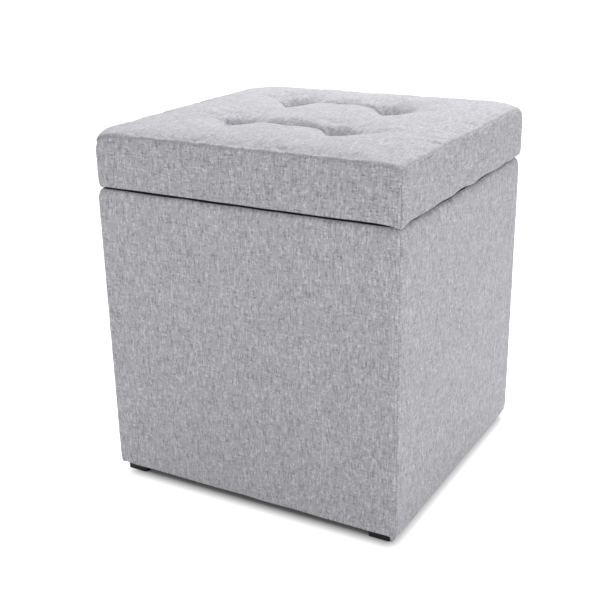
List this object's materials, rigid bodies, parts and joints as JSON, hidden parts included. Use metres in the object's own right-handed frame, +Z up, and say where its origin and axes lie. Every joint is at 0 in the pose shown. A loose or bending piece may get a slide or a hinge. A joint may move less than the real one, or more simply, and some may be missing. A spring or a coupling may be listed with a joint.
{
  "type": "storage ottoman",
  "caption": "Square upholstered storage ottoman with a hinged, button-tufted cushion lid, two slotted lid stays and low block feet.",
  "frame": {"origin": "on the floor, under the middle of the base cover", "axes": "+Z up, +Y towards the hinges (rear), +X to the right of someone facing the front"},
  "size_m": [0.4034, 0.389, 0.455],
  "materials": {
    "linen_fabric": "matte",
    "fibreboard": "matte",
    "softwood": "matte",
    "foam": "matte",
    "black_cloth": "matte",
    "black_plastic": "satin",
    "zinc_steel": "satin",
    "twine": "matte"
  },
  "bodies": {
    "base": {"front_panel": "fibreboard", "rear_panel": "fibreboard", "left_panel": "fibreboard", "right_panel": "fibreboard", "bottom_cleats": "softwood", "bottom_panel": "fibreboard", "panel_screws": "zinc_steel", "bottom_screws": "zinc_steel", "side_wadding": "foam", "base_cover": "linen_fabric", "base_lining": "black_cloth", "dust_cover": "black_cloth", "foot_front_left": "black_plastic", "foot_front_right": "black_plastic", "foot_rear_left": "black_plastic", "foot_rear_right": "black_plastic", "foot_screws": "zinc_steel", "hinge_base_leaf_left": "zinc_steel", "hinge_base_leaf_right": "zinc_steel", "hinge_pins": "zinc_steel", "hinge_screws_base": "zinc_steel", "stay_base_bracket_left": "zinc_steel", "stay_base_bracket_right": "zinc_steel", "stay_guide_pins": "zinc_steel", "stay_screws_base": "zinc_steel"},
    "lid": {"lid_board": "fibreboard", "lid_foam": "foam", "lid_cover": "linen_fabric", "lid_lining": "black_cloth", "tuft_button_front_left": "linen_fabric", "tuft_button_front_right": "linen_fabric", "tuft_button_rear_left": "linen_fabric", "tuft_button_rear_right": "linen_fabric", "tuft_ties": "twine", "tuft_washers": "zinc_steel", "hinge_lid_leaf_left": "zinc_steel", "hinge_lid_leaf_right": "zinc_steel", "hinge_screws_lid": "zinc_steel", "stay_lid_bracket_left": "zinc_steel", "stay_lid_bracket_right": "zinc_steel", "stay_pivot_rivets": "zinc_steel", "stay_screws_lid": "zinc_steel"},
    "stay_arm_left": {"stay_arm_left": "zinc_steel"},
    "stay_arm_right": {"stay_arm_right": "zinc_steel"}
  },
  "joints": [
    {"name": "lid_hinge", "type": "hinge", "parent": "base", "child": "lid", "pos_m": [0, 0.1946, 0.38125], "axis": [-1, 0, 0], "range_deg": [0, 97]},
    {"name": "stay_pivot_left", "type": "hinge", "parent": "lid", "child": "stay_arm_left", "pos_m": [-0.175, 0.08508, 0.371], "axis": [-1, 0, 0], "range_deg": [-48.5, 0]},
    {"name": "stay_pivot_right", "type": "hinge", "parent": "lid", "child": "stay_arm_right", "pos_m": [0.175, 0.08508, 0.371], "axis": [-1, 0, 0], "range_deg": [-48.5, 0]}
  ],
  "couplings": [
    {"joint": "stay_pivot_left", "follows": "lid_hinge", "ratio": -0.5},
    {"joint": "stay_pivot_right", "follows": "lid_hinge", "ratio": -0.5}
  ]
}
